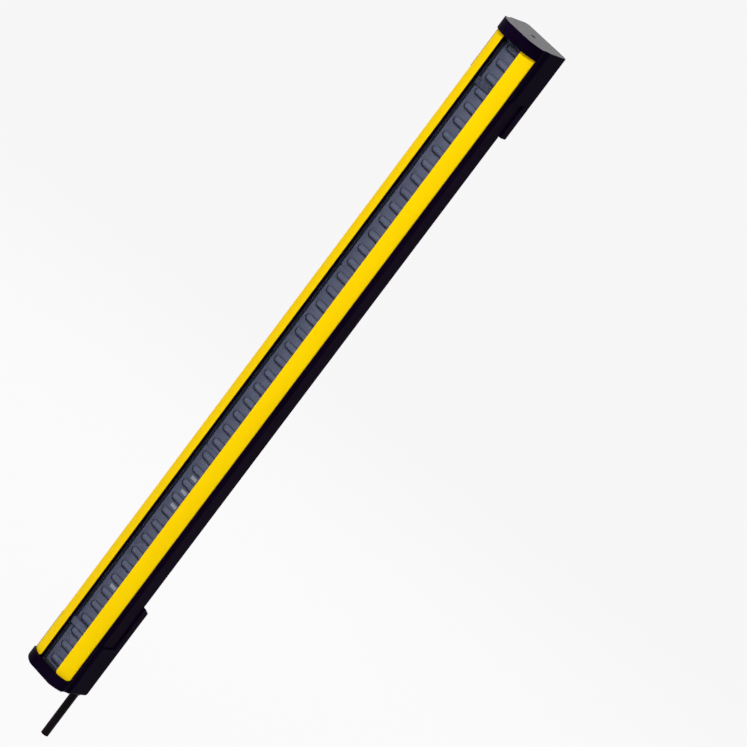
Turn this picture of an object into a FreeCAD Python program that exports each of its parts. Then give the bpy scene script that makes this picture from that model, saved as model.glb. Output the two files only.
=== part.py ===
"""One bar of a safety light curtain, as a parametric FreeCAD document, in millimetres.

The bar stands upright. +Z runs along it, +X is to the right as the window is faced, and the
window looks towards -Y. The origin is on the rear plane of the two feet, in the middle of the
four threaded inserts that fix the bar to a machine.

Across the bar, most depths are counted forwards from the back of the housing profile, layer by
layer: back wall, control board, beam boards, aperture bar, lenses, window, front rails.
"""

import FreeCAD, Part
import math
import os

import Sketcher
from FreeCAD import Placement, Rotation, Vector

SIZES = {
    # the whole bar
    "body_length": 463.0,
    "foot_depth": 7.35,
    # cross-section of the housing profile, from its back to its front
    "front_width": 31.0,
    "side_bulge": 0.9,
    "profile_corner": 1.5,
    "back_wall": 4.35,
    "side_wall": 1.5,
    "chamber_corner": 1.0,
    "board_step": 0.6,
    "board_step_width": 1.2,
    "side_groove_start": 11.65,
    "side_groove_sink": 1.05,
    "back_line_place": 21.0,
    "back_line_width": 1.6,
    "back_line_sink": 0.8,
    "window_opening": 14.68,
    "lens_channel_width": 15.2,
    "channel_depth": 2.95,
    "window_grip": 1.16,
    # front rails
    "rail_drop": 4.67,
    "rail_lip": 0.42,
    "rail_end_wall": 0.8,
    "rail_crown": 0.5,
    "rail_rib_width": 1.4,
    "rail_rib_lead": 0.2,
    "rail_bottom_corner": 1.8,
    "rail_top_corner": 0.4,
    # boards
    "board_width": 17.0,
    "board_thickness": 1.2,
    "board_gap": 1.8,
    "board_joint": 0.4,
    "board_joint_height": 75.0,
    "board_end_gap": 1.7,
    "control_board_low": 8.2,
    "control_board_length": 154.0,
    "chip_thickness": 1.1,
    "link_width": 8.0,
    "link_height": 6.0,
    "header_width": 10.0,
    "header_height": 4.0,
    "header_below_link": 5.0,
    "spacer_radius": 1.3,
    "spacer_across": 12.0,
    "spacer_from_end": 12.0,
    "pad_width": 12.0,
    "pad_height": 6.0,
    "pad_step": 76.0,
    "spring_above_joint": 70.0,
    "spring_leaf": 0.3,
    "spring_width": 4.0,
    "spring_foot": 5.0,
    "spring_rise": 4.0,
    "spring_tip": 3.0,
    # beam optics
    "beam_pitch": 10.0,
    "first_beam": 10.8,
    "aperture_depth": 4.0,
    "aperture_width": 6.0,
    "aperture_height": 3.4,
    "lens_plate": 1.6,
    "lens_length": 10.4,
    "lens_width": 4.4,
    "lens_plinth": 1.0,
    "lens_crown": 1.2,
    "lens_root": 0.2,
    "array_corner": 1.2,
    "bridge_length": 4.0,
    "diode_width": 3.0,
    "diode_height": 2.6,
    "diode_thickness": 1.3,
    "guide_width": 4.4,
    "guide_height": 2.0,
    "guide_proud": 0.25,
    "lamp_thickness": 0.9,
    # window and its gaskets
    "window_air": 1.7,
    "window_thickness": 1.5,
    "gasket_thickness": 0.8,
    # end caps
    "cap_band": 7.5,
    "cap_recess": 2.0,
    "cap_gasket": 0.8,
    "cap_overhang": 2.13,
    "cap_front_flat": 17.2,
    "cap_flank_crown": 0.9,
    "cap_shoulder": 1.1,
    "cap_shoulder_lead": 0.3,
    "cap_valley_sink": 0.8,
    "skirt_wall": 1.0,
    "top_skirt": 34.0,
    "bottom_skirt": 34.5,
    "rear_corner": 3.2,
    "cap_upper_edge": 0.4,
    "cap_lower_edge": 2.0,
    "cap_floor": 2.2,
    "core_width": 9.0,
    "core_depth": 3.4,
    "core_wall": 2.2,
    "vent_radius": 1.6,
    "vent_bore": 0.7,
    "vent_length": 3.0,
    "vent_sink": 1.0,
    "vent_place": 15.8,
    # cap and foot screws
    "cap_screw_first": 13.0,
    "cap_screw_step": 14.0,
    "cap_screw_radius": 1.5,
    "cap_screw_head": 2.75,
    "cap_screw_head_height": 2.4,
    "foot_screw_step": 10.0,
    "foot_screw_radius": 2.0,
    "foot_screw_head": 3.5,
    "foot_screw_head_height": 2.6,
    "screw_bite": 3.4,
    "tap_extra": 0.3,
    "head_sink": 0.6,
    "head_clearance": 0.25,
    "shank_clearance": 0.15,
    "socket_depth": 1.5,
    "cap_screw_socket": 1.25,
    "foot_screw_socket": 1.5,
    # feet
    "foot_height": 22.0,
    "bottom_foot_height": 30.9,
    "bottom_foot_slope": 4.2,
    "foot_gap": 0.15,
    "insert_radius": 3.1,
    "insert_bore": 2.1,
    "insert_length": 6.0,
    "insert_spacing": 21.0,
    "insert_from_end": 46.5,
    # cable entry
    "cable_radius": 2.4,
    "cable_length": 31.5,
    "cable_right": 12.0,
    "cable_ahead": 5.0,
    "grommet_flange": 3.0,
    "grommet_flange_height": 0.8,
    "grommet_neck": 2.7,
    "grommet_lip": 3.2,
    "grommet_lip_height": 1.5,
    "grommet_lip_wall": 0.4,
    "grommet_bore": 1.9,
    "wire_radius": 0.45,
    "wire_offset": 0.65,
    "wire_bend": 1.2,
    "wire_level": 0.6,
    "wire_level_step": 1.1,
    "wire_spacing": 1.6,
    "wire_first": 2.2,
    "terminal_height": 5.0,
    "terminal_width": 7.6,
    "terminal_thickness": 1.6,
    "terminal_lift": 1.0,
    # play between parts that slide together
    "slide_clearance": 0.1,
    "rib_clearance": 0.05,
    "channel_clearance": 0.15,
}

ARRAY_PLACES = ("bottom", "lower", "middle", "upper", "top")
# a status light stands above each of these beams, counted from the bottom
STATUS_NUMBERS = (5, 11, 12, 13)
# chips on the control board, as (right of the middle, up from its lower end, width, height)
CHIPS = ((0, 30, 9, 9), (-3, 48, 6, 8), (3, 66, 7, 7), (0, 86, 10, 12), (-2, 108, 5, 6))

doc = FreeCAD.newDocument("safety_light_curtain")
sheet = doc.addObject("Spreadsheet::Sheet", "Sizes")
for row, (alias, number) in enumerate(SIZES.items(), start=1):
    sheet.set(f"A{row}", alias)
    sheet.set(f"B{row}", str(number))
    sheet.setAlias(f"B{row}", alias)
doc.recompute()


class Size:
    """A length, as its value now and as the sheet formula that keeps the model tied to it."""

    def __init__(self, value, formula):
        self.value = value
        self.formula = formula

    def __add__(self, other):
        other = as_size(other)
        return Size(self.value + other.value, f"({self.formula} + {other.formula})")

    def __sub__(self, other):
        other = as_size(other)
        return Size(self.value - other.value, f"({self.formula} - {other.formula})")

    def __mul__(self, other):
        other = as_size(other)
        return Size(self.value * other.value, f"({self.formula} * {other.formula})")

    def __truediv__(self, other):
        other = as_size(other)
        return Size(self.value / other.value, f"({self.formula} / {other.formula})")

    def __neg__(self):
        return Size(-self.value, f"(-1 * {self.formula})")

    def __rmul__(self, number):
        return as_size(number) * self


def as_size(thing):
    return thing if isinstance(thing, Size) else Size(float(thing), repr(float(thing)))


def size(alias):
    return Size(float(sheet.get(alias)), f"Sizes.{alias}")


ZERO = as_size(0)

# heights
half_body = size("body_length") / 2
rim = half_body - size("cap_band")
profile_end = rim + size("cap_recess") - size("cap_gasket")
lowest_beam = size("first_beam") - half_body
beam_span = size("body_length") - 2 * size("first_beam")
beam_count = 1 + int(beam_span.value / size("beam_pitch").value)

# layers of the cross-section, each counted forwards from the back of the profile
cavity_back = size("back_wall")
control_back = cavity_back + size("board_step")
control_front = control_back + size("board_thickness")
beam_board_back = control_front + size("board_gap")
beam_board_front = beam_board_back + size("board_thickness")
lens_plate_back = beam_board_front + size("aperture_depth")
lens_plate_front = lens_plate_back + size("lens_plate")
gasket_back = lens_plate_front + size("window_air")
window_back = gasket_back + size("gasket_thickness")
window_front = window_back + size("window_thickness")
seat_inner = window_front + size("channel_depth")
rail_inner = seat_inner + size("rail_lip")
rail_outer = rail_inner - size("rail_drop")
seat_outer = rail_outer - size("rail_end_wall")
side_start = size("side_groove_start")

# half widths
half_opening = size("window_opening") / 2
half_front = size("front_width") / 2
half_profile = half_front + size("side_bulge")
half_cap = half_profile + size("skirt_wall")
half_board = size("board_width") / 2
half_board_slot = half_board + size("slide_clearance")
half_channel = size("lens_channel_width") / 2
half_optics = half_channel - size("channel_clearance")
half_window = half_opening + size("window_grip")
rail_middle = (half_opening + half_front) / 2


def forward(layer):
    """The y of a layer that is counted forwards from the back of the profile."""
    return -(size("foot_depth") + layer)


def seat_depth(across):
    """The layer of the sloping rail seat at a distance from the middle plane."""
    share = (across - half_opening) / (half_front - half_opening)
    return seat_inner - (seat_inner - seat_outer) * share


def beam_height(number):
    """The z of a beam, counted from the bottom, or of the place between two beams."""
    return lowest_beam + number * size("beam_pitch")


class Bend:
    """The arc from one corner of an outline to the next, bulging left or right of the way."""

    def __init__(self, radius, bulges_right):
        self.radius = radius
        self.bulges_right = bulges_right


def crown_radius(start, end, crown):
    """The radius of the arc between two corners whose middle stands this far off the chord."""
    across = end[0] - start[0]
    along = end[1] - start[1]
    return (across * across + along * along) / (8 * crown) + crown / 2


def corners(*points):
    """Corners of an outline, each (x, y) or (x, y, Bend to the next corner)."""
    return [tuple(as_size(v) if not isinstance(v, Bend) else v for v in p) for p in points]


def other_side(half):
    """The mirror image of a run of corners, in the opposite order."""
    bends = [corner[2:] for corner in half[:-1]][::-1] + [()]
    return [(-corner[0], corner[1], *bend) for corner, bend in zip(half[::-1], bends)]


def rectangle(left, right, low, high):
    return corners((left, low), (right, low), (right, high), (left, high))


def rounded_rectangle(left, right, low, high, radius):
    turn = Bend(as_size(radius), True)
    return corners(
        (left + radius, low),
        (right - radius, low, turn),
        (right, low + radius),
        (right, high - radius, turn),
        (right - radius, high),
        (left + radius, high, turn),
        (left, high - radius),
        (left, low + radius, turn),
    )


def hexagon(x, y, inner_radius):
    """A hexagon that stands on a flat, given by the circle that fits inside it."""
    half_side = inner_radius * math.tan(math.radians(30))
    return corners(
        (x - half_side, y - inner_radius),
        (x + half_side, y - inner_radius),
        (x + 2 * half_side, y),
        (x + half_side, y + inner_radius),
        (x - half_side, y + inner_radius),
        (x - 2 * half_side, y),
    )


class Circle:
    def __init__(self, x, y, radius):
        self.x = as_size(x)
        self.y = as_size(y)
        self.radius = as_size(radius)


def pin(constraints, formulas, edge, point, place):
    """Hold one point of the sketch at a place, with both of its coordinates bound to the sheet."""
    for kind, axis, coordinate in (("DistanceX", -2, place[0]), ("DistanceY", -1, place[1])):
        if coordinate is ZERO:
            constraints.append(Sketcher.Constraint("PointOnObject", edge, point, axis))
            continue
        formulas[len(constraints)] = coordinate.formula
        constraints.append(Sketcher.Constraint(kind, -1, 1, edge, point, coordinate.value))


def draw_circle(sketch, circle, constraints, formulas):
    centre = Vector(circle.x.value, circle.y.value, 0)
    ring = Part.Circle(centre, Vector(0, 0, 1), circle.radius.value)
    edge = sketch.addGeometry(ring, False)
    pin(constraints, formulas, edge, 3, (circle.x, circle.y))
    formulas[len(constraints)] = circle.radius.formula
    constraints.append(Sketcher.Constraint("Radius", edge, circle.radius.value))


def arc_between(start, end, bend):
    """The arc as a sketch wants it, counter-clockwise, and whether that turned it round."""
    if not bend.bulges_right:
        start, end = end, start
    chord = end - start
    half_chord = chord.Length / 2
    rise = math.sqrt(max(bend.radius.value ** 2 - half_chord ** 2, 0.0))
    left = Vector(-chord.y, chord.x, 0).normalize()
    centre = start + chord * 0.5 + left * rise
    first = math.atan2(start.y - centre.y, start.x - centre.x)
    last = math.atan2(end.y - centre.y, end.x - centre.x)
    circle = Part.Circle(centre, Vector(0, 0, 1), bend.radius.value)
    return Part.ArcOfCircle(circle, first, last), not bend.bulges_right


def draw_outline(sketch, outline, constraints, formulas):
    """Draw a closed outline. Each corner is pinned, and each arc has its radius."""
    ends = []
    for number, corner in enumerate(outline):
        following = outline[(number + 1) % len(outline)]
        start = Vector(corner[0].value, corner[1].value, 0)
        end = Vector(following[0].value, following[1].value, 0)
        if len(corner) == 2:
            edge = sketch.addGeometry(Part.LineSegment(start, end), False)
            ends.append((edge, 1, 2))
            continue
        arc, turned = arc_between(start, end, corner[2])
        edge = sketch.addGeometry(arc, False)
        ends.append((edge, 2, 1) if turned else (edge, 1, 2))
        formulas[len(constraints)] = corner[2].radius.formula
        constraints.append(Sketcher.Constraint("Radius", edge, corner[2].radius.value))
    for number, (edge, first, _) in enumerate(ends):
        before, _, last = ends[number - 1]
        constraints.append(Sketcher.Constraint("Coincident", before, last, edge, first))
        pin(constraints, formulas, edge, first, outline[number][:2])


def new_body(name):
    body = doc.addObject("PartDesign::Body", name)
    body.Label = name
    body.AllowCompound = True
    return body


def new_sketch(body, plane, start, shapes):
    """A sketch on one of the body's own planes, moved to start along that plane's normal."""
    sketch = body.newObject("Sketcher::SketchObject", f"{body.Name}_sketch")
    origin_plane = next(f for f in body.Origin.OriginFeatures if f.Role == plane)
    sketch.AttachmentSupport = [(origin_plane, "")]
    sketch.MapMode = "FlatFace"
    sketch.setExpression("AttachmentOffset.Base.z", as_size(start).formula)
    constraints = []
    formulas = {}
    for shape in shapes:
        draw = draw_circle if isinstance(shape, Circle) else draw_outline
        draw(sketch, shape, constraints, formulas)
    sketch.addConstraint(constraints)
    for number, formula in formulas.items():
        sketch.setExpression(f"Constraints[{number}]", formula)
    return sketch


def add(body, plane, start, length, *shapes):
    """Pad the shapes from start, along the normal of the plane."""
    pad = body.newObject("PartDesign::Pad", f"{body.Name}_pad")
    pad.Profile = new_sketch(body, plane, start, shapes)
    pad.setExpression("Length", as_size(length).formula)
    return pad


def cut(body, plane, start, length, *shapes):
    """Cut the shapes out from start, along the normal of the plane."""
    volume_before = solid_volume(body)
    pocket = body.newObject("PartDesign::Pocket", f"{body.Name}_pocket")
    pocket.Profile = new_sketch(body, plane, start, shapes)
    pocket.Reversed = True
    pocket.setExpression("Length", as_size(length).formula)
    if not solid_volume(body) < volume_before:
        raise RuntimeError(f"{body.Label}: a pocket cuts nothing")
    return pocket


def solid_volume(body):
    doc.recompute()
    return body.Shape.Volume


def revolve(body, plane, start, outline, axis_x):
    """Turn an outline a full turn about the upright line of its sketch at axis_x."""
    sketch = new_sketch(body, plane, start, [outline])
    low = Vector(axis_x.value, -1, 0)
    line = sketch.addGeometry(Part.LineSegment(low, low + Vector(0, 2, 0)), True)
    sketch.addConstraint(Sketcher.Constraint("Vertical", line))
    held = sketch.addConstraint(
        Sketcher.Constraint("DistanceX", -1, 1, line, 1, axis_x.value)
    )
    sketch.setExpression(f"Constraints[{held}]", axis_x.formula)
    turned = body.newObject("PartDesign::Revolution", f"{body.Name}_turned")
    turned.Profile = sketch
    turned.ReferenceAxis = (sketch, ["Axis0"])
    turned.Angle = 360
    return turned


def repeat_upwards(body, features, count, step):
    """Copies of the features, one above the other."""
    doc.recompute()
    pattern = body.newObject("PartDesign::LinearPattern", f"{body.Name}_pattern")
    pattern.Originals = features
    upright = next(f for f in body.Origin.OriginFeatures if f.Role == "Z_Axis")
    pattern.Direction = (upright, [""])
    pattern.Occurrences = count
    pattern.setExpression("Length", ((count - 1) * step).formula)
    body.Tip = pattern
    return pattern


def round_edges(body, radius, chosen):
    """Fillet the edges of the body for which chosen(edge) is true."""
    doc.recompute()
    base = body.Tip
    names = [f"Edge{n}" for n, edge in enumerate(base.Shape.Edges, start=1) if chosen(edge)]
    if not names:
        raise RuntimeError(f"{body.Label}: no edge to round")
    fillet = body.newObject("PartDesign::Fillet", f"{body.Name}_fillet")
    fillet.Base = (base, names)
    fillet.setExpression("Radius", as_size(radius).formula)
    return fillet


def near(first, second):
    return abs(first - second) < 0.001


def lies_at_height(edge, height):
    """Whether an edge lies flat at this height."""
    box = edge.BoundBox
    return near(box.ZMin, height.value) and near(box.ZMax, height.value)


# ---------------------------------------------------------------- outlines across the bar


def profile_side(gap):
    """The right side of the profile from its rail seat to its back, grown by gap."""
    groove_front = (half_front + gap, forward(seat_outer + gap))
    groove_back = (half_profile + gap, forward(side_start))
    groove = crown_radius(groove_front, groove_back, size("side_groove_sink"))
    corner = size("profile_corner")
    return corners(
        (*groove_front, Bend(groove, False)),
        groove_back,
        (half_profile + gap, forward(corner), Bend(corner + gap, True)),
        (half_profile - corner, forward(ZERO - gap)),
    )


def profile_outline(gap):
    """The profile's outer shape with its front opening closed, grown by gap."""
    lip = corners((half_opening, forward(seat_inner + gap)))
    half = lip + profile_side(gap)
    return half + other_side(half)


def cap_outline():
    """The outer shape of both end caps."""
    front = forward(rail_inner + size("cap_overhang"))
    front_corner = (size("cap_front_flat") / 2, front)
    shoulder = (
        half_front + size("cap_shoulder"),
        forward(rail_outer + size("cap_shoulder_lead")),
    )
    bulge = (half_cap, forward(side_start))
    flank = crown_radius(front_corner, shoulder, size("cap_flank_crown"))
    valley = crown_radius(shoulder, bulge, size("cap_valley_sink"))
    corner = size("rear_corner")
    half = corners(
        (*front_corner, Bend(flank, True)),
        (*shoulder, Bend(valley, False)),
        bulge,
        (half_cap, -corner, Bend(corner, True)),
        (half_cap - corner, ZERO),
    )
    return half + other_side(half)


# ---------------------------------------------------------------- the housing and its front


def housing_profile():
    """The extrusion: rail seats, window grooves, board slots, side chambers and tapped holes."""
    body = new_body("housing_profile")
    groove = size("rail_rib_width") / 2 + size("rib_clearance")
    groove_floor = forward(rail_outer - size("rail_rib_lead") - size("slide_clearance"))
    seat = corners(
        (half_opening, forward(seat_inner)),
        (rail_middle - groove, forward(seat_depth(rail_middle - groove))),
        (rail_middle - groove, groove_floor),
        (rail_middle + groove, groove_floor),
        (rail_middle + groove, forward(seat_depth(rail_middle + groove))),
    )
    line_middle = size("back_line_place") / 2
    line_half = size("back_line_width") / 2
    back_line = corners(
        (line_middle + line_half, forward(ZERO)),
        (line_middle, forward(size("back_line_sink"))),
        (line_middle - line_half, forward(ZERO)),
    )
    outer_half = seat + profile_side(ZERO) + back_line
    window_slot = half_window + size("slide_clearance")
    step_inner = half_board_slot - size("board_step_width")
    inner_half = corners(
        (half_opening, forward(window_front)),
        (window_slot, forward(window_front)),
        (window_slot, forward(gasket_back)),
        (half_channel, forward(gasket_back)),
        (half_channel, forward(beam_board_front)),
        (half_board_slot, forward(beam_board_front)),
        (half_board_slot, forward(control_back)),
        (step_inner, forward(control_back)),
        (step_inner, forward(cavity_back)),
    )
    inner_left = [(-corner[0], corner[1]) for corner in inner_half]
    section = outer_half + other_side(outer_half) + inner_left + inner_half[::-1]
    chamber_inner = half_board_slot + size("side_wall")
    chamber_outer = half_profile - size("side_wall")
    chambers = [
        rounded_rectangle(left, right, forward(side_start), forward(size("side_wall")), size("chamber_corner"))
        for left, right in ((chamber_inner, chamber_outer), (-chamber_outer, -chamber_inner))
    ]
    add(body, "XY_Plane", -profile_end, 2 * profile_end, section, *chambers)
    tapped_depth = size("screw_bite") + size("tap_extra")
    for heights, radius in (
        (cap_screw_heights(), size("cap_screw_radius")),
        (foot_screw_heights(), size("foot_screw_radius")),
    ):
        holes = [Circle(ZERO, height, radius) for height in heights]
        cut(body, "XZ_Plane", size("foot_depth"), tapped_depth, *holes)
    return body


def front_rail(name, side):
    """A yellow strip, with the rib on its back that snaps into the profile."""
    body = new_body(name)
    rib = size("rail_rib_width") / 2
    rib_end = forward(rail_outer - size("rail_rib_lead"))
    inner_edge = (half_opening, forward(rail_inner))
    outer_edge = (half_front, forward(rail_outer))
    crown = crown_radius(inner_edge, outer_edge, size("rail_crown"))
    section = corners(
        (*inner_edge, Bend(crown, True)),
        outer_edge,
        (half_front, forward(seat_outer)),
        (rail_middle + rib, forward(seat_depth(rail_middle + rib))),
        (rail_middle + rib, rib_end),
        (rail_middle - rib, rib_end),
        (rail_middle - rib, forward(seat_depth(rail_middle - rib))),
        (half_opening, forward(seat_inner)),
    )
    if side < 0:
        section = other_side(section)
    add(body, "XY_Plane", -rim, 2 * rim, section)

    left, right = (half_opening, half_front) if side > 0 else (-half_front, -half_opening)
    low_corner = size("rail_bottom_corner")
    low_turn = Bend(low_corner, True)
    high_corner = size("rail_top_corner")
    high_turn = Bend(high_corner, True)
    front_view = corners(
        (left + low_corner, -rim),
        (right - low_corner, -rim, low_turn),
        (right, low_corner - rim),
        (right, rim - high_corner, high_turn),
        (right - high_corner, rim),
        (left + high_corner, rim, high_turn),
        (left, rim - high_corner),
        (left, low_corner - rim, low_turn),
    )
    beyond = rim + half_front
    around = rectangle(-beyond, beyond, -beyond, beyond)
    cut(body, "XZ_Plane", size("foot_depth"), 2 * seat_inner, around, front_view)
    return body


def front_window():
    """The clear smoky strip that the beams pass through."""
    body = new_body("front_window")
    outline = rectangle(-half_window, half_window, forward(window_front), forward(window_back))
    add(body, "XY_Plane", -profile_end, 2 * profile_end, outline)
    return body


def window_gasket(name, side):
    """A flat rubber strip that presses the window forwards against its groove."""
    body = new_body(name)
    inner = side * half_channel
    outer = side * (half_window + size("slide_clearance"))
    left, right = (inner, outer) if side > 0 else (outer, inner)
    outline = rectangle(left, right, forward(window_back), forward(gasket_back))
    add(body, "XY_Plane", -profile_end, 2 * profile_end, outline)
    return body


# ---------------------------------------------------------------- beam optics


def array_counts():
    """How many beams each lens array serves: three at both ends, the rest shared by three."""
    at_end = 3
    long_arrays = len(ARRAY_PLACES) - 2
    shared = beam_count - 2 * at_end
    long_count = shared // long_arrays
    middle_count = shared - (long_arrays - 1) * long_count
    return (at_end, long_count, middle_count, long_count, at_end)


def bridge_span(beam):
    """The lower and upper end of the bridge between this beam and the next."""
    middle = beam_height(beam + 0.5)
    half_length = size("bridge_length") / 2
    return middle - half_length, middle + half_length


def bridge_beams():
    """The last beam below each of the two bridges."""
    end_count = array_counts()[0]
    return end_count - 1, beam_count - end_count - 1


def array_ends():
    """The lower and upper end of each lens array, which leave room for the two bridges."""
    play = size("slide_clearance")
    ends = []
    low = -profile_end
    first = 0
    for count in array_counts():
        last = first + count - 1
        high = beam_height(last + 0.5)
        following = high
        if last in bridge_beams():
            high, following = bridge_span(last)
        if last == beam_count - 1:
            high = profile_end
        ends.append((low + play, high - play))
        low = following
        first += count
    return ends


def lens_array(name, count, first, low, high):
    """A moulded plate with a row of oblong domed lenses, one for each beam."""
    body = new_body(name)
    corner = size("array_corner")
    plate = rounded_rectangle(-half_optics, half_optics, low, high, corner)
    add(body, "XZ_Plane", size("foot_depth") + lens_plate_back, size("lens_plate"), plate)
    face = forward(lens_plate_front)
    root = face + size("lens_root")
    half_width = size("lens_width") / 2
    centre = beam_height(first)
    half_core = size("lens_length") / 2 - half_width
    brim = face - size("lens_plinth")
    low_edge = (brim, centre - half_width)
    high_edge = (brim, centre + half_width)
    dome = crown_radius(low_edge, high_edge, size("lens_crown"))
    ridge = corners(
        (root, centre - half_width),
        (root, centre + half_width),
        (*high_edge, Bend(dome, True)),
        low_edge,
    )
    features = [add(body, "YZ_Plane", -half_core, 2 * half_core, ridge)]
    for side in (-1, 1):
        middle = side * half_core
        quarter = corners(
            (middle, brim - size("lens_crown"), Bend(dome, side > 0)),
            (middle + side * half_width, brim),
            (middle + side * half_width, root),
            (middle, root),
        )
        features.append(revolve(body, "XY_Plane", centre, quarter, middle))
    repeat_upwards(body, features, count, size("beam_pitch"))
    lit = [n for n in STATUS_NUMBERS if first <= n < first + count - 1]
    if lit:
        windows = [guide_outline(number, size("slide_clearance")) for number in lit]
        cut(body, "XZ_Plane", size("foot_depth") + lens_plate_back, size("lens_plate"), *windows)
    return body


def guide_outline(beam, gap):
    """The upright oblong of a status light, between this beam and the next."""
    middle = beam_height(beam + 0.5)
    half_width = size("guide_width") / 2 + gap
    half_height = size("guide_height") / 2 + gap
    return rectangle(-half_width, half_width, middle - half_height, middle + half_height)


def window_bridge(name, beam):
    """The spacer between two lens arrays, which backs the window across its whole width."""
    body = new_body(name)
    outline = rectangle(-half_optics, half_optics, *bridge_span(beam))
    start = size("foot_depth") + lens_plate_back
    add(body, "XZ_Plane", start, window_back - lens_plate_back, outline)
    return body


def aperture_bar():
    """The opaque bar behind the lenses, with one square tunnel for each beam."""
    body = new_body("aperture_bar")
    end = profile_end - size("slide_clearance")
    start = size("foot_depth") + beam_board_front
    bar = rectangle(-half_optics, half_optics, -end, end)
    add(body, "XZ_Plane", start, size("aperture_depth"), bar)
    half_width = size("aperture_width") / 2
    half_height = size("aperture_height") / 2
    tunnel = rectangle(
        -half_width, half_width, lowest_beam - half_height, lowest_beam + half_height
    )
    tunnels = cut(body, "XZ_Plane", start, size("aperture_depth"), tunnel)
    repeat_upwards(body, [tunnels], beam_count, size("beam_pitch"))
    shafts = [guide_outline(number, size("slide_clearance")) for number in STATUS_NUMBERS]
    cut(body, "XZ_Plane", start, size("aperture_depth"), *shafts)
    return body


def beam_diodes():
    """One diode for each beam, on the front of the beam boards."""
    body = new_body("beam_diodes")
    half_width = size("diode_width") / 2
    half_height = size("diode_height") / 2
    outline = rectangle(
        -half_width, half_width, lowest_beam - half_height, lowest_beam + half_height
    )
    start = size("foot_depth") + beam_board_front
    diode = add(body, "XZ_Plane", start, size("diode_thickness"), outline)
    repeat_upwards(body, [diode], beam_count, size("beam_pitch"))
    return body


def status_lamps():
    body = new_body("status_lamps")
    start = size("foot_depth") + beam_board_front
    outlines = [guide_outline(number, ZERO) for number in STATUS_NUMBERS]
    add(body, "XZ_Plane", start, size("lamp_thickness"), *outlines)
    return body


def status_light_guides():
    """Clear blocks that carry the light of the lamps through the bar to the lens plate."""
    body = new_body("status_light_guides")
    back = beam_board_front + size("lamp_thickness")
    length = lens_plate_front + size("guide_proud") - back
    outlines = [guide_outline(number, ZERO) for number in STATUS_NUMBERS]
    add(body, "XZ_Plane", size("foot_depth") + back, length, *outlines)
    return body


# ---------------------------------------------------------------- boards


def flat_block(body, layer, thickness, outline):
    """Pad an upright outline forwards from a layer of the cross-section."""
    add(body, "XZ_Plane", size("foot_depth") + layer, thickness, outline)


def beam_board(name, low, high):
    body = new_body(name)
    outline = rectangle(-half_board, half_board, low, high)
    flat_block(body, beam_board_back, size("board_thickness"), outline)
    return body


def board_joints():
    """The heights at which the three beam boards meet."""
    joint = size("board_joint_height")
    return [-joint, joint]


def board_links():
    """The plugs that join neighbouring beam boards at their backs."""
    body = new_body("board_links")
    half_width = size("link_width") / 2
    half_height = size("link_height") / 2
    thickness = size("terminal_thickness")
    outlines = [
        rectangle(-half_width, half_width, middle - half_height, middle + half_height)
        for middle in board_joints()
    ]
    start = size("foot_depth") + beam_board_back - thickness
    add(body, "XZ_Plane", start, thickness, *outlines)
    return body


def control_low():
    return size("control_board_low") - profile_end


def control_high():
    return control_low() + size("control_board_length")


def control_board():
    body = new_body("control_board")
    outline = rectangle(-half_board, half_board, control_low(), control_high())
    flat_block(body, control_back, size("board_thickness"), outline)
    return body


def control_board_chips():
    """The components on the front of the control board."""
    body = new_body("control_board_chips")
    outlines = []
    for across, up, width, height in CHIPS:
        low = control_low() + up
        left = as_size(across - width / 2)
        outlines.append(rectangle(left, left + width, low, low + height))
    start = size("foot_depth") + control_front
    add(body, "XZ_Plane", start, size("chip_thickness"), *outlines)
    return body


def board_spacers():
    """Round posts that hold the control board off the beam boards."""
    body = new_body("board_spacers")
    across = size("spacer_across") / 2
    from_end = size("spacer_from_end")
    posts = [
        Circle(side * across, height, size("spacer_radius"))
        for side in (-1, 1)
        for height in (control_low() + from_end, control_high() - from_end)
    ]
    add(body, "XZ_Plane", size("foot_depth") + control_front, size("board_gap"), *posts)
    return body


def board_header():
    """The pin header that carries the signals between the control board and the beam boards."""
    body = new_body("board_header")
    half_width = size("header_width") / 2
    link_low = board_joints()[0] - size("link_height") / 2
    high = link_low - size("header_below_link")
    outline = rectangle(-half_width, half_width, high - size("header_height"), high)
    flat_block(body, control_front, size("board_gap"), outline)
    return body


def board_pads():
    """Rubber blocks that press the upper beam boards against their ledges."""
    body = new_body("board_pads")
    half_width = size("pad_width") / 2
    half_height = size("pad_height") / 2
    outlines = []
    for steps in (-1.5, -0.5, 0.5, 1.5):
        middle = board_joints()[1] + steps * size("pad_step")
        outlines.append(
            rectangle(-half_width, half_width, middle - half_height, middle + half_height)
        )
    thickness = beam_board_back - cavity_back
    add(body, "XZ_Plane", size("foot_depth") + cavity_back, thickness, *outlines)
    return body


def earthing_spring():
    """A bent leaf from the back of a beam board to the wall of the profile."""
    body = new_body("earthing_spring")
    leaf = size("spring_leaf")
    low = board_joints()[1] + size("spring_above_joint")
    bend = low + size("spring_foot")
    tip = bend + size("spring_rise")
    high = tip + size("spring_tip")
    lag = leaf / 2
    board = forward(beam_board_back)
    wall = forward(cavity_back)
    outline = corners(
        (board, low),
        (board, bend),
        (wall - leaf, tip),
        (wall - leaf, high),
        (wall, high),
        (wall, tip - lag),
        (board + leaf, bend - lag),
        (board + leaf, low),
    )
    half_width = size("spring_width") / 2
    add(body, "YZ_Plane", -half_width, 2 * half_width, outline)
    return body


def cable_terminal():
    """The plug of the cable cores, on the front of the control board."""
    body = new_body("cable_terminal")
    low = control_low() + size("terminal_lift")
    half_width = size("terminal_width") / 2
    centre = size("wire_first") + 1.5 * size("wire_spacing")
    outline = rectangle(
        centre - half_width, centre + half_width, low, low + size("terminal_height")
    )
    flat_block(body, control_front, size("terminal_thickness"), outline)
    return body


# ---------------------------------------------------------------- end caps and their seals


def cap_screw_heights():
    first = half_body - size("cap_screw_first")
    second = first - size("cap_screw_step")
    return [first, second, -second, -first]


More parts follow.
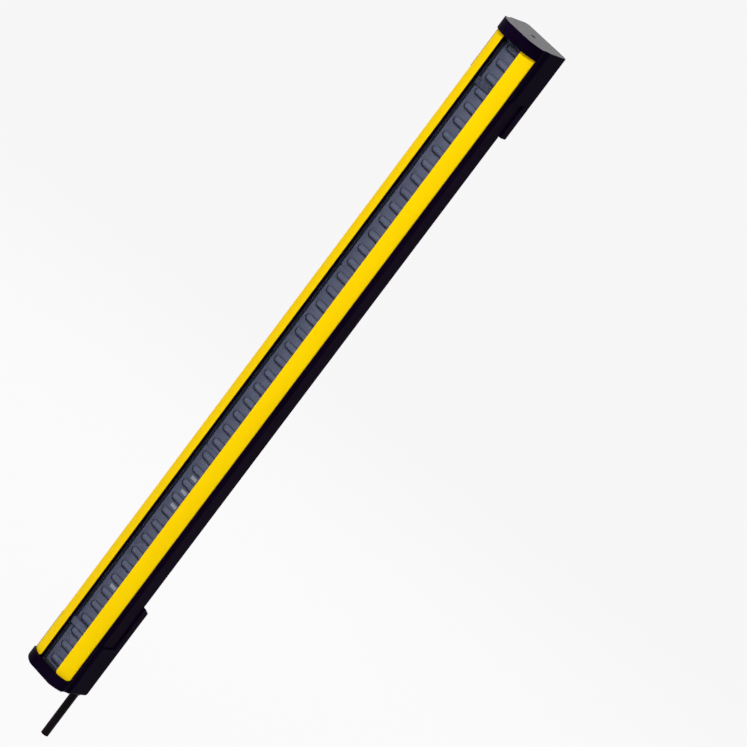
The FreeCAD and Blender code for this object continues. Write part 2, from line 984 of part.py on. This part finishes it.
def insert_height():
    """The height of the upper pair of inserts above the middle of the bar."""
    return half_body - size("insert_from_end")


def foot_screw_heights():
    middle = insert_height()
    half_step = size("foot_screw_step") / 2
    return [middle + half_step, middle - half_step, half_step - middle, -middle - half_step]


def counterbore(body, heights, radius, head, head_height, back_layer):
    """Screw holes from the rear plane forwards, with a room for each head."""
    room = size("head_sink") + head_height
    heads = [Circle(ZERO, height, head + size("head_clearance")) for height in heights]
    shanks = [Circle(ZERO, height, radius + size("shank_clearance")) for height in heights]
    cut(body, "XZ_Plane", ZERO, room, *heads)
    cut(body, "XZ_Plane", ZERO, back_layer, *shanks)


def end_cap(name, side, skirt):
    """The band over the end of the bar, and the skirt round its sides and back."""
    body = new_body(name)
    low = -half_body if side < 0 else half_body - skirt
    open_length = skirt - size("cap_band")
    open_low = -rim if side < 0 else half_body - skirt
    add(body, "XY_Plane", low, skirt, cap_outline())
    reach = 2 * half_cap
    skirt_front = forward(seat_outer - size("slide_clearance"))
    front_room = rectangle(-reach, reach, -reach * 2, skirt_front)
    cut(body, "XY_Plane", open_low, open_length, front_room)
    recess_low = open_low - size("cap_recess") if side < 0 else open_low
    recess = profile_outline(size("slide_clearance"))
    cut(body, "XY_Plane", recess_low, open_length + size("cap_recess"), recess)
    core_outer = half_cap - size("core_wall")
    core_rear = -size("core_wall")
    cores = [
        rectangle(left, right, core_rear - size("core_depth"), core_rear)
        for left, right in (
            (core_outer - size("core_width"), core_outer),
            (-core_outer, size("core_width") - core_outer),
        )
    ]
    cut(body, "XY_Plane", open_low, open_length, *cores)
    heights = cap_screw_heights()
    own = heights[:2] if side > 0 else heights[2:]
    counterbore(
        body,
        own,
        size("cap_screw_radius"),
        size("cap_screw_head"),
        size("cap_screw_head_height"),
        size("foot_depth"),
    )
    return body


def top_end_cap():
    body = end_cap("top_end_cap", 1, size("top_skirt"))
    vent = Circle(ZERO, -size("vent_place"), size("vent_radius"))
    wall = size("cap_band") - size("cap_recess")
    cut(body, "XY_Plane", half_body - wall, wall, vent)

    def on_upper_edge(edge):
        """The vent's rim is the only closed edge up there, and it stays sharp."""
        return lies_at_height(edge, half_body) and not edge.isClosed()

    round_edges(body, size("cap_upper_edge"), on_upper_edge)
    return body


def bottom_end_cap():
    """The lower cap, with rounded lower edges, a wiring space and the cable's hole."""
    body = end_cap("bottom_end_cap", -1, size("bottom_skirt"))
    round_edges(body, size("cap_lower_edge"), lambda edge: lies_at_height(edge, -half_body))
    floor = size("cap_floor")
    reach = size("cable_right") + size("grommet_flange") + size("slide_clearance")
    rear = size("cable_ahead") - size("grommet_flange") - size("slide_clearance")
    space = rectangle(-half_channel, reach, forward(beam_board_front), -rear)
    space_height = size("cap_band") - size("cap_recess") - floor
    cut(body, "XY_Plane", floor - half_body, space_height, space)
    hole = Circle(size("cable_right"), -size("cable_ahead"), size("grommet_neck"))
    cut(body, "XY_Plane", -half_body, floor, hole)
    return body


def cap_gasket(name, low):
    """A flat seal between the end of the profile and the floor of the cap's recess."""
    body = new_body(name)
    opening = rectangle(
        -half_channel, half_channel, forward(lens_plate_back), forward(cavity_back)
    )
    add(body, "XY_Plane", low, size("cap_gasket"), profile_outline(ZERO), opening)
    return body


def vent_plug():
    """The pressure vent, sunk into the end face of the top cap."""
    body = new_body("vent_plug")
    top = half_body - size("vent_sink")
    plug = Circle(ZERO, -size("vent_place"), size("vent_radius"))
    bore = Circle(ZERO, -size("vent_place"), size("vent_bore"))
    add(body, "XY_Plane", top - size("vent_length"), size("vent_length"), plug)
    cut(body, "XY_Plane", top - size("vent_length"), size("vent_length"), bore)
    return body


def screws(name, heights, radius, head, head_height, socket):
    """Socket-head screws in the middle plane, driven in from behind."""
    body = new_body(name)
    sink = size("head_sink")
    heads = [Circle(ZERO, height, head) for height in heights]
    shanks = [Circle(ZERO, height, radius) for height in heights]
    sockets = [hexagon(ZERO, height, socket) for height in heights]
    add(body, "XZ_Plane", sink, head_height, *heads)
    under_head = sink + head_height
    shank_length = size("foot_depth") + size("screw_bite") - under_head
    add(body, "XZ_Plane", under_head, shank_length, *shanks)
    cut(body, "XZ_Plane", sink, size("socket_depth"), *sockets)
    return body


# ---------------------------------------------------------------- feet


def mounting_foot(name, side, low, height):
    """The block behind the profile that carries two threaded inserts."""
    body = new_body(name)
    corner = size("rear_corner")
    half = corners(
        (half_cap, forward(ZERO)),
        (half_cap, -corner, Bend(corner, True)),
        (half_cap - corner, ZERO),
    )
    add(body, "XY_Plane", low, height, half + other_side(half))
    middle = side * insert_height()
    across = size("insert_spacing") / 2
    pockets = [Circle(turn * across, middle, size("insert_radius")) for turn in (-1, 1)]
    cut(body, "XZ_Plane", ZERO, size("insert_length"), *pockets)
    heights = foot_screw_heights()
    own = heights[:2] if side > 0 else heights[2:]
    counterbore(
        body,
        own,
        size("foot_screw_radius"),
        size("foot_screw_head"),
        size("foot_screw_head_height"),
        size("foot_depth"),
    )
    return body


def top_mounting_foot():
    high = half_body - size("top_skirt") - size("foot_gap")
    return mounting_foot("top_mounting_foot", 1, high - size("foot_height"), size("foot_height"))


def bottom_mounting_foot():
    """The lower foot, whose upper end slopes so that water and swarf run off."""
    low = size("bottom_skirt") + size("foot_gap") - half_body
    height = size("bottom_foot_height")
    body = mounting_foot("bottom_mounting_foot", -1, low, height)
    high = low + height
    wedge = corners(
        (forward(ZERO), high),
        (ZERO, high - size("bottom_foot_slope")),
        (ZERO, high),
    )
    cut(body, "YZ_Plane", -half_cap, 2 * half_cap, wedge)
    return body


def foot_inserts():
    """Brass inserts that take the machine's screws."""
    body = new_body("foot_inserts")
    rings = []
    for side in (-1, 1):
        for end in (-1, 1):
            across = side * size("insert_spacing") / 2
            up = end * insert_height()
            rings.append(Circle(across, up, size("insert_radius")))
            rings.append(Circle(across, up, size("insert_bore")))
    add(body, "XZ_Plane", ZERO, size("insert_length"), *rings)
    return body


# ---------------------------------------------------------------- cable and its entry


def cable_grommet():
    """The rubber bush in the floor of the bottom cap."""
    body = new_body("cable_grommet")
    bore = size("grommet_bore")
    neck = size("grommet_neck")
    floor = size("cap_floor")
    top = floor + size("grommet_flange_height")
    section = corners(
        (bore, -size("grommet_lip_height")),
        (size("cable_radius") + size("grommet_lip_wall"), -size("grommet_lip_height")),
        (size("grommet_lip"), ZERO),
        (neck, ZERO),
        (neck, floor),
        (size("grommet_flange"), floor),
        (size("grommet_flange"), top),
        (bore, top),
    )
    revolve(body, "XZ_Plane", ZERO, section, ZERO)
    body.setExpression("Placement.Base.x", size("cable_right").formula)
    body.setExpression("Placement.Base.y", (-size("cable_ahead")).formula)
    body.setExpression("Placement.Base.z", (-half_body).formula)
    return body


def cable_exit():
    """The height at which the cable leaves the grommet."""
    return -half_body - size("grommet_lip_height")


def cable():
    """The free end of the connecting cable, which hangs straight down."""
    jacket = doc.addObject("Part::Cylinder", "cable")
    jacket.Label = "cable"
    jacket.setExpression("Radius", size("cable_radius").formula)
    jacket.setExpression("Height", size("cable_length").formula)
    jacket.setExpression("Placement.Base.x", size("cable_right").formula)
    jacket.setExpression("Placement.Base.y", (-size("cable_ahead")).formula)
    jacket.setExpression("Placement.Base.z", (cable_exit() - size("cable_length")).formula)
    return jacket


def rounded_path(points, radius):
    """Straight runs joined by tangent arcs of one radius."""
    edges = []
    start = points[0]
    for before, corner, after in zip(points, points[1:], points[2:]):
        come = (before - corner).normalize()
        leave = (after - corner).normalize()
        half_turn = come.getAngle(leave) / 2
        back_off = radius / math.tan(half_turn)
        first = corner + come * back_off
        last = corner + leave * back_off
        middle_way = (come + leave).normalize()
        rise = radius / math.sin(half_turn) - radius
        edges.append(Part.LineSegment(start, first).toShape())
        edges.append(Part.Arc(first, corner + middle_way * rise, last).toShape())
        start = last
    edges.append(Part.LineSegment(start, points[-1]).toShape())
    return Part.Wire(edges)


def cable_cores():
    """Four cores, from the cable up through the grommet and on to the terminal."""
    right = size("cable_right").value
    back = -size("cable_ahead").value
    offset = size("wire_offset").value
    radius = size("wire_radius").value
    flange_top = (-half_body + size("cap_floor") + size("grommet_flange_height")).value
    rise_depth = forward(control_front + size("board_gap") / 2).value
    top = (control_low() + size("terminal_lift")).value
    solids = []
    for number in range(4):
        row, column = divmod(number, 2)
        start_x = right + (2 * column - 1) * offset
        start_y = back + (2 * row - 1) * offset
        level = flange_top + size("wire_level").value + row * size("wire_level_step").value
        end_x = size("wire_first").value + number * size("wire_spacing").value
        points = [
            Vector(start_x, start_y, cable_exit().value),
            Vector(start_x, start_y, level),
            Vector(end_x, rise_depth, level),
            Vector(end_x, rise_depth, top),
        ]
        path = rounded_path(points, size("wire_bend").value)
        section = Part.Wire(Part.Circle(points[0], Vector(0, 0, 1), radius).toShape())
        solids.append(path.makePipeShell([section], True, True))
    cores = doc.addObject("Part::Feature", "cable_cores")
    cores.Label = "cable_cores"
    cores.Shape = Part.makeCompound(solids)
    cores.Placement = Placement(Vector(0, 0, 0), Rotation())
    return cores


# ---------------------------------------------------------------- the whole bar


def build():
    parts = [
        housing_profile(),
        front_rail("left_front_rail", -1),
        front_rail("right_front_rail", 1),
        front_window(),
        window_gasket("left_window_gasket", -1),
        window_gasket("right_window_gasket", 1),
    ]
    first = 0
    for place, count, (low, high) in zip(ARRAY_PLACES, array_counts(), array_ends()):
        parts.append(lens_array(f"lens_array_{place}", count, first, low, high))
        first += count
    lower_bridge, upper_bridge = bridge_beams()
    parts.append(window_bridge("lower_window_bridge", lower_bridge))
    parts.append(window_bridge("upper_window_bridge", upper_bridge))
    parts += [aperture_bar(), beam_diodes(), status_lamps(), status_light_guides()]
    joint = size("board_joint_height")
    half_joint = size("board_joint") / 2
    board_end = profile_end - size("board_end_gap")
    parts.append(beam_board("lower_beam_board", -board_end, -joint - half_joint))
    parts.append(beam_board("middle_beam_board", half_joint - joint, joint - half_joint))
    parts.append(beam_board("upper_beam_board", joint + half_joint, board_end))
    parts += [
        board_links(),
        control_board(),
        control_board_chips(),
        board_spacers(),
        board_header(),
        board_pads(),
        earthing_spring(),
        cable_terminal(),
        cable_cores(),
        top_end_cap(),
        bottom_end_cap(),
        cap_gasket("top_cap_gasket", profile_end),
        cap_gasket("bottom_cap_gasket", -profile_end - size("cap_gasket")),
        vent_plug(),
        top_mounting_foot(),
        bottom_mounting_foot(),
        foot_inserts(),
        screws(
            "end_cap_screws",
            cap_screw_heights(),
            size("cap_screw_radius"),
            size("cap_screw_head"),
            size("cap_screw_head_height"),
            size("cap_screw_socket"),
        ),
        screws(
            "foot_screws",
            foot_screw_heights(),
            size("foot_screw_radius"),
            size("foot_screw_head"),
            size("foot_screw_head_height"),
            size("foot_screw_socket"),
        ),
        cable_grommet(),
        cable(),
    ]
    return parts


def check(parts):
    """Stop if any object failed, or any part is empty or not sound."""
    for thing in doc.Objects:
        if "Invalid" in thing.State or "Error" in thing.State:
            raise RuntimeError(f"{thing.Label} is {thing.State}")
    for part in parts:
        if part.Shape.isNull() or not part.Shape.isValid() or not part.Shape.Solids:
            raise RuntimeError(f"{part.Label} has no sound solid")


parts = build()
doc.recompute()
check(parts)
os.makedirs("parts", exist_ok=True)
for part in parts:
    part.Shape.exportStep(f"parts/{part.Label}.step")
    print(part.Label, len(part.Shape.Solids), "solids", round(part.Shape.Volume, 1), "mm3")
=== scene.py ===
"""Looks for one bar of a safety light curtain, in metres, in the frame of its solids.

The bar stands upright with its window towards -Y, held by the two feet at its back.
"""

import math

import bpy
from mathutils import Matrix, Vector


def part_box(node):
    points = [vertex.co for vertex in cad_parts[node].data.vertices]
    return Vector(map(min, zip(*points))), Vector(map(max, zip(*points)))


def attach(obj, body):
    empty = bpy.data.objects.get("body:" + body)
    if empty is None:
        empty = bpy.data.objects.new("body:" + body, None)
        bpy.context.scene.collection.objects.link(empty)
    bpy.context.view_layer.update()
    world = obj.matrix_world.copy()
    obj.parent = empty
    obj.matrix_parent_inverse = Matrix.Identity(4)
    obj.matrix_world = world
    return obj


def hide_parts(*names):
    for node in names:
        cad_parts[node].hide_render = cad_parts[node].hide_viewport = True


MM = 0.001
BACKDROP = "#F8F7F8"
# how wide the studio floor reaches from the middle, and how far it lies below it, in metres
FLOOR_REACH = 15.0
FLOOR_DROP = 0.75
# the floor shows mostly the plain backdrop, lifted a little for the part of it that is lit
FLOOR_PLAIN_SHARE = 0.95
FLOOR_GLOW = 1.03
# low all-round light, so that the lamps shape the bar and the blacks stay deep
WORLD_STRENGTH = 0.22

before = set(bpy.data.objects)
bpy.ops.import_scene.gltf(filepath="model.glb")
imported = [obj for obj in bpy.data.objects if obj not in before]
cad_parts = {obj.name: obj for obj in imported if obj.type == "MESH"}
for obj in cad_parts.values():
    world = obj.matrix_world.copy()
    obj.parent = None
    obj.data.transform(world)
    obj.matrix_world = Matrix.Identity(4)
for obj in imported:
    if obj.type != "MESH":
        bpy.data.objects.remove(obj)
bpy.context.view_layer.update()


# ---------------------------------------------------------------- colours and nodes


def linear(hex_colour):
    """Linear red, green, blue and alpha from an sRGB hex value."""
    channels = []
    for start in (1, 3, 5):
        value = int(hex_colour[start:start + 2], 16) / 255
        channels.append(value / 12.92 if value <= 0.04045 else ((value + 0.055) / 1.055) ** 2.4)
    return (*channels, 1.0)


def add_node(tree, kind, inputs=None, **settings):
    """Add one node. Each input is a value, or the output socket that it is linked to."""
    node = tree.nodes.new(kind)
    for name, value in settings.items():
        setattr(node, name, value)
    for name, value in (inputs or {}).items():
        socket = node.inputs[name]
        if isinstance(value, bpy.types.NodeSocket):
            tree.links.new(value, socket)
        else:
            socket.default_value = value
    return node


def new_material(name):
    """A material with an empty node tree, and that tree."""
    material = bpy.data.materials.new(name)
    material.use_nodes = True
    material.node_tree.nodes.clear()
    return material, material.node_tree


# ---------------------------------------------------------------- materials


def finish(name, shades, gloss, grain_mm, relief_mm, run=(1, 1, 1), patch_mm=15.0, **sockets):
    """A surface in two close shades, whose grain shows in its gloss and in its relief.

    shades is two sRGB colours, gloss the lowest and highest roughness, grain_mm and relief_mm
    the width and depth of the grain, run a small scale along the way the grain is drawn out,
    and patch_mm the width of the soft patches in which the shades lie.
    """
    material, tree = new_material(name)
    place = add_node(tree, "ShaderNodeTexCoord").outputs["Object"]
    drawn = add_node(tree, "ShaderNodeMapping", {"Vector": place, "Scale": run})
    grain = add_node(
        tree,
        "ShaderNodeTexNoise",
        {"Vector": drawn.outputs["Vector"], "Scale": 1 / (grain_mm * MM), "Detail": 3.0},
    )
    patches = add_node(
        tree,
        "ShaderNodeTexNoise",
        {"Vector": place, "Scale": 1 / (patch_mm * MM), "Detail": 1.0},
    )
    colour = add_node(
        tree,
        "ShaderNodeMix",
        {"Factor": patches.outputs["Fac"], 6: linear(shades[0]), 7: linear(shades[1])},
        data_type="RGBA",
    )
    roughness = add_node(
        tree,
        "ShaderNodeMapRange",
        {
            "Value": grain.outputs["Fac"],
            "From Min": 0.3,
            "From Max": 0.7,
            "To Min": gloss[0],
            "To Max": gloss[1],
        },
    )
    relief = add_node(
        tree,
        "ShaderNodeBump",
        {"Height": grain.outputs["Fac"], "Distance": relief_mm * MM, "Strength": 0.5},
    )
    shader = add_node(
        tree,
        "ShaderNodeBsdfPrincipled",
        {
            "Base Color": colour.outputs[2],
            "Roughness": roughness.outputs["Result"],
            "Normal": relief.outputs["Normal"],
        },
    )
    for socket, value in sockets.items():
        shader.inputs[socket.replace("_", " ")].default_value = value
    add_node(tree, "ShaderNodeOutputMaterial", {"Surface": shader.outputs["BSDF"]})
    return material


def paint_flank_shade(material, shade, side, lean_from, lean_to):
    """Paint a darker shade into the colour of walls that lean towards a side: painted shade.

    side is a unit direction in the piece's own axes. The shade fades in while the share of a
    wall's normal along it goes from lean_from to lean_to.
    """
    tree = material.node_tree
    shader = next(node for node in tree.nodes if node.type == "BSDF_PRINCIPLED")
    colour = shader.inputs["Base Color"].links[0].from_socket
    normal = add_node(tree, "ShaderNodeTexCoord").outputs["Normal"]
    along = add_node(
        tree, "ShaderNodeVectorMath", {0: normal, 1: side}, operation="DOT_PRODUCT"
    )
    lean = add_node(
        tree,
        "ShaderNodeMapRange",
        {"Value": along.outputs["Value"], "From Min": lean_from, "From Max": lean_to},
    )
    # painted shade: the dark colour mixed in where a wall leans towards the side
    shaded = add_node(
        tree,
        "ShaderNodeMix",
        {"Factor": lean.outputs["Result"], 6: colour, 7: linear(shade)},
        data_type="RGBA",
    )
    tree.links.new(shaded.outputs[2], shader.inputs["Base Color"])


def solder_mask_green():
    """Circuit board: green solder mask over copper tracks that show as faint ridges."""
    material, tree = new_material("green_solder_mask")
    place = add_node(tree, "ShaderNodeTexCoord").outputs["Object"]
    tracks = add_node(
        tree,
        "ShaderNodeTexBrick",
        {
            "Vector": place,
            "Color1": linear("#0F4A26"),
            "Color2": linear("#11552B"),
            "Mortar": linear("#1C7A3E"),
            "Scale": 1 / (2.5 * MM),
            "Mortar Size": 0.06,
        },
    )
    mask = add_node(tree, "ShaderNodeTexNoise", {"Vector": place, "Scale": 1 / (1.5 * MM)})
    roughness = add_node(
        tree,
        "ShaderNodeMapRange",
        {"Value": mask.outputs["Fac"], "To Min": 0.2, "To Max": 0.45},
    )
    ridges = add_node(
        tree,
        "ShaderNodeBump",
        {"Height": tracks.outputs["Fac"], "Distance": 0.03 * MM, "Strength": 0.5},
    )
    shader = add_node(
        tree,
        "ShaderNodeBsdfPrincipled",
        {
            "Base Color": tracks.outputs["Color"],
            "Roughness": roughness.outputs["Result"],
            "Normal": ridges.outputs["Normal"],
        },
    )
    add_node(tree, "ShaderNodeOutputMaterial", {"Surface": shader.outputs["BSDF"]})
    return material


# Where a specular level is given it is far below the usual 0.5, on purpose: the pale studio
# all round would lift the blacks to grey and wash out the yellow. Under darker surroundings
# these surfaces look duller than the real ones, and 0.5 is the level to go back to.

# Powder coat on extruded aluminium: fine orange peel under an even, nearly matt colour.
YELLOW = finish(
    "yellow_powder_coat", ("#FFD200", "#FFDA00"), (0.4, 0.5), 1.2, 0.02, patch_mm=35.0,
    IOR=1.5, Specular_IOR_Level=0.03,
)
# Anodised aluminium: faint die lines run along the extrusion, and the dye leaves it dark.
ANODISED = finish(
    "black_anodised_aluminium", ("#0A0214", "#14071F"), (0.34, 0.46), 0.5, 0.01,
    run=(1, 1, 0.004), patch_mm=25.0, IOR=1.5, Specular_IOR_Level=0.008,
)
# Glass-filled polyamide from a spark-eroded mould: an even fine grain. The real grain is
# about 0.1 mm across, drawn coarser so that it shows. The tint gives its black a violet cast.
POLYAMIDE = finish(
    "black_moulded_polyamide", ("#04000A", "#120820"), (0.4, 0.52), 0.35, 0.02,
    IOR=1.5, Specular_IOR_Level=0.01, Specular_Tint=linear("#C8B8FF"),
)
# Extruded acrylic, tinted and see-through, polished but for a slight haze along its length.
# The sheet is thin and flat, so plain alpha stands for it and bends nothing behind it.
ACRYLIC = finish(
    "smoky_acrylic", ("#444A5F", "#505670"), (0.05, 0.08), 3.0, 0.0, run=(1, 1, 0.02),
    patch_mm=18.0, IOR=1.49, Specular_IOR_Level=0.06, Alpha=0.1,
)
# Infrared-pass polycarbonate, injection moulded: slate to the eye, with glossy domes.
LENS = finish(
    "slate_infrared_polycarbonate", ("#5C6177", "#6E7388"), (0.2, 0.28), 1.5, 0.01,
    patch_mm=9.0, IOR=1.58, Specular_IOR_Level=0.1,
)
# Painted shade: a dark crescent painted into each dome's colour stands in for the dark hole
# behind, seen through the dome, which on the real one moves with the eye. Here it is fixed to
# the lower left flank, as seen from the front right; from other sides it is only an
# approximation.
paint_flank_shade(LENS, "#0E0D18", side=(-0.52, 0.77, -0.37), lean_from=-0.74, lean_to=-0.36)
# The same slate without the gloss, from a grained mould.
SLATE = finish(
    "slate_polycarbonate", ("#5A5F75", "#686D83"), (0.3, 0.4), 0.5, 0.02,
    IOR=1.58, Specular_IOR_Level=0.1,
)
# Carbon-filled polycarbonate that stops stray light: nearly black and flat.
OPAQUE = finish("dark_opaque_polycarbonate", ("#121218", "#1D1D24"), (0.45, 0.55), 0.5, 0.02)
# Milky polycarbonate, which spreads the light of the lamp behind it.
MILKY = finish(
    "milky_polycarbonate", ("#9DA2B2", "#B4B8C6"), (0.25, 0.35), 1.0, 0.01, IOR=1.58,
)
# Moulded and calendered rubber: a soft, slightly dusty black.
RUBBER = finish("black_nitrile_rubber", ("#101012", "#1C1C1E"), (0.62, 0.78), 0.3, 0.02)
# Transfer-moulded epoxy, lightly sand-textured by the mould.
EPOXY = finish("black_moulded_epoxy", ("#131318", "#202026"), (0.4, 0.5), 0.3, 0.02)
# Unfilled nylon is a warm cream and takes a soft shine.
NYLON = finish("natural_nylon", ("#CBC4AA", "#DED7C0"), (0.35, 0.45), 0.5, 0.02)
# Extruded polyurethane: smooth, with a dull sheen and slight lengthwise drag.
JACKET = finish(
    "black_polyurethane_jacket", ("#090409", "#120B12"), (0.4, 0.5), 0.4, 0.01,
    run=(1, 1, 0.05), Specular_IOR_Level=0.05,
)
# Extruded PVC over the copper strands: even and softly glossy.
CORE_SLEEVES = finish(
    "brown_pvc_insulation", ("#744520", "#8E5A2C"), (0.3, 0.4), 0.4, 0.01, run=(1, 1, 0.05),
)
BOARD = solder_mask_green()
# Bright zinc plate over rolled or turned steel, with fine tool marks.
ZINC = finish(
    "zinc_plated_steel", ("#B4B7BB", "#CCCED2"), (0.24, 0.38), 0.2, 0.01, patch_mm=4.0,
    Metallic=1.0,
)
# Cold-rolled strip: the rolling leaves fine lines along it.
SPRING = finish(
    "stainless_spring_steel", ("#BEBCB8", "#D0CECA"), (0.2, 0.34), 0.2, 0.01,
    run=(1, 1, 0.1), patch_mm=4.0, Metallic=1.0,
)
# Turned brass with the rings of the tool, a little dulled by air.
BRASS = finish(
    "turned_brass", ("#C29C54", "#DCBA72"), (0.2, 0.34), 0.15, 0.01, patch_mm=4.0,
    Metallic=1.0,
)

FINISHES = {
    "housing_profile": ANODISED,
    "left_front_rail": YELLOW,
    "right_front_rail": YELLOW,
    "front_window": ACRYLIC,
    "left_window_gasket": RUBBER,
    "right_window_gasket": RUBBER,
    "lens_array_bottom": LENS,
    "lens_array_lower": LENS,
    "lens_array_middle": LENS,
    "lens_array_upper": LENS,
    "lens_array_top": LENS,
    "lower_window_bridge": SLATE,
    "upper_window_bridge": SLATE,
    "aperture_bar": OPAQUE,
    "beam_diodes": EPOXY,
    "status_lamps": EPOXY,
    "status_light_guides": MILKY,
    "lower_beam_board": BOARD,
    "middle_beam_board": BOARD,
    "upper_beam_board": BOARD,
    "board_links": NYLON,
    "control_board": BOARD,
    "control_board_chips": EPOXY,
    "board_spacers": NYLON,
    "board_header": EPOXY,
    "board_pads": RUBBER,
    "earthing_spring": SPRING,
    "cable_terminal": NYLON,
    "cable_cores": CORE_SLEEVES,
    "top_end_cap": POLYAMIDE,
    "bottom_end_cap": POLYAMIDE,
    "top_cap_gasket": RUBBER,
    "bottom_cap_gasket": RUBBER,
    "vent_plug": OPAQUE,
    "top_mounting_foot": POLYAMIDE,
    "bottom_mounting_foot": POLYAMIDE,
    "foot_inserts": BRASS,
    "end_cap_screws": ZINC,
    "foot_screws": ZINC,
    "cable_grommet": RUBBER,
}

for node_name, material in FINISHES.items():
    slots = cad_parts[node_name].data.materials
    slots.clear()
    slots.append(material)


# ---------------------------------------------------------------- the cable


def cable_axis():
    """Where the cable leaves its bush, and where it is cut off."""
    low, high = (Vector(corner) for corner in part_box("cable"))
    middle = (low + high) / 2
    return Vector((middle.x, middle.y, high.z)), Vector((middle.x, middle.y, low.z))


def hanging_cable():
    """The jacketed cable, straight down from its bush."""
    start, end = cable_axis()
    low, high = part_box("cable")
    diameter = high[0] - low[0]
    curve = bpy.data.curves.new("hanging_cable", "CURVE")
    curve.dimensions = "3D"
    line = curve.splines.new("NURBS")
    stops = [start.lerp(end, share) for share in (0, 0.33, 0.67, 1)]
    line.points.add(len(stops) - 1)
    for point, place in zip(line.points, stops):
        point.co = (*place, 1)
    line.order_u = 3
    line.use_endpoint_u = True
    curve.bevel_depth = diameter / 2
    curve.bevel_resolution = 8
    curve.use_fill_caps = True
    cable = bpy.data.objects.new("hanging_cable", curve)
    bpy.context.scene.collection.objects.link(cable)
    cable.data.materials.append(JACKET)
    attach(cable, "root")
    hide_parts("cable")


hanging_cable()


# ---------------------------------------------------------------- floor, light and camera


def backdrop_share(tree, share):
    """How much of the plain backdrop colour a ray sees: all but the soft light on the bar."""
    ray = add_node(tree, "ShaderNodeLightPath")
    clear_view = add_node(
        tree,
        "ShaderNodeMath",
        {0: ray.outputs["Is Camera Ray"], 1: ray.outputs["Is Transmission Ray"]},
        operation="MAXIMUM",
    )
    any_view = add_node(
        tree,
        "ShaderNodeMath",
        {0: clear_view.outputs[0], 1: ray.outputs["Is Glossy Ray"]},
        operation="MAXIMUM",
    )
    part = add_node(
        tree, "ShaderNodeMath", {0: any_view.outputs[0], 1: share}, operation="MULTIPLY"
    )
    return part.outputs[0]


def pale_floor():
    """A wide pale floor far below the bar, which is held by its feet."""
    half = FLOOR_REACH
    corners = [(-half, -half), (half, -half), (half, half), (-half, half)]
    mesh = bpy.data.meshes.new("studio_floor")
    mesh.from_pydata([(x, y, -FLOOR_DROP) for x, y in corners], [], [(0, 1, 2, 3)])
    floor = bpy.data.objects.new("studio_floor", mesh)
    bpy.context.scene.collection.objects.link(floor)
    material, tree = new_material("matt_pale_vinyl")
    matt = add_node(tree, "ShaderNodeBsdfDiffuse", {"Color": linear(BACKDROP)})
    glow = add_node(
        tree, "ShaderNodeEmission", {"Color": linear(BACKDROP), "Strength": FLOOR_GLOW}
    )
    mixed = add_node(
        tree,
        "ShaderNodeMixShader",
        {
            "Fac": backdrop_share(tree, FLOOR_PLAIN_SHARE),
            1: matt.outputs[0],
            2: glow.outputs[0],
        },
    )
    add_node(tree, "ShaderNodeOutputMaterial", {"Surface": mixed.outputs[0]})
    mesh.materials.append(material)


def studio_world():
    """Soft even light from all round, seen as a near-white backdrop."""
    world = bpy.data.worlds.new("studio")
    world.use_nodes = True
    tree = world.node_tree
    tree.nodes.clear()
    soft = add_node(
        tree,
        "ShaderNodeBackground",
        {"Color": linear("#FFFFFF"), "Strength": WORLD_STRENGTH},
    )
    backdrop = add_node(
        tree, "ShaderNodeBackground", {"Color": linear(BACKDROP), "Strength": 1.0}
    )
    mixed = add_node(
        tree,
        "ShaderNodeMixShader",
        {"Fac": backdrop_share(tree, 1.0), 1: soft.outputs[0], 2: backdrop.outputs[0]},
    )
    add_node(tree, "ShaderNodeOutputWorld", {"Surface": mixed.outputs[0]})
    bpy.context.scene.world = world


def softbox(name, place, side, power):
    """A square lamp at a place, turned to the middle of the bar. The power is in watts."""
    lamp = bpy.data.lights.new(name, "AREA")
    lamp.shape = "RECTANGLE"
    lamp.size = side
    lamp.size_y = side
    lamp.energy = power
    holder = bpy.data.objects.new(name, lamp)
    holder.location = place
    holder.rotation_euler = (-Vector(place)).to_track_quat("-Z", "Y").to_euler()
    holder.visible_camera = False
    bpy.context.scene.collection.objects.link(holder)


def camera_at(aim, azimuth, elevation, roll, distance, lens):
    """The camera, turned about its own line of sight by roll."""
    azimuth, elevation, roll = (math.radians(angle) for angle in (azimuth, elevation, roll))
    towards = Vector((
        math.sin(azimuth) * math.cos(elevation),
        -math.cos(azimuth) * math.cos(elevation),
        math.sin(elevation),
    ))
    data = bpy.data.cameras.new("camera")
    data.lens = lens
    data.sensor_width = 36
    data.clip_end = 50
    camera = bpy.data.objects.new("camera", data)
    level = (-towards).to_track_quat("-Z", "Y").to_matrix().to_4x4()
    turned = level @ Matrix.Rotation(roll, 4, "Z")
    camera.matrix_world = Matrix.Translation(Vector(aim) + towards * distance) @ turned
    bpy.context.scene.collection.objects.link(camera)
    bpy.context.scene.camera = camera


pale_floor()
studio_world()
softbox("key_softbox", (0.5, -2.3, 1.9), side=0.6, power=63)
softbox("fill_softbox", (-1.4, -2.2, 0.5), side=1.8, power=8)
softbox("rim_softbox", (-1.2, 2.1, 0.65), side=1.2, power=27)
camera_at(
    aim=(0.04775, -0.0158, 0.03095),
    azimuth=29.4068,
    elevation=14.5343,
    roll=37.1127,
    distance=2.60277,
    lens=226.63,
)
bpy.context.scene.view_settings.view_transform = "Standard"
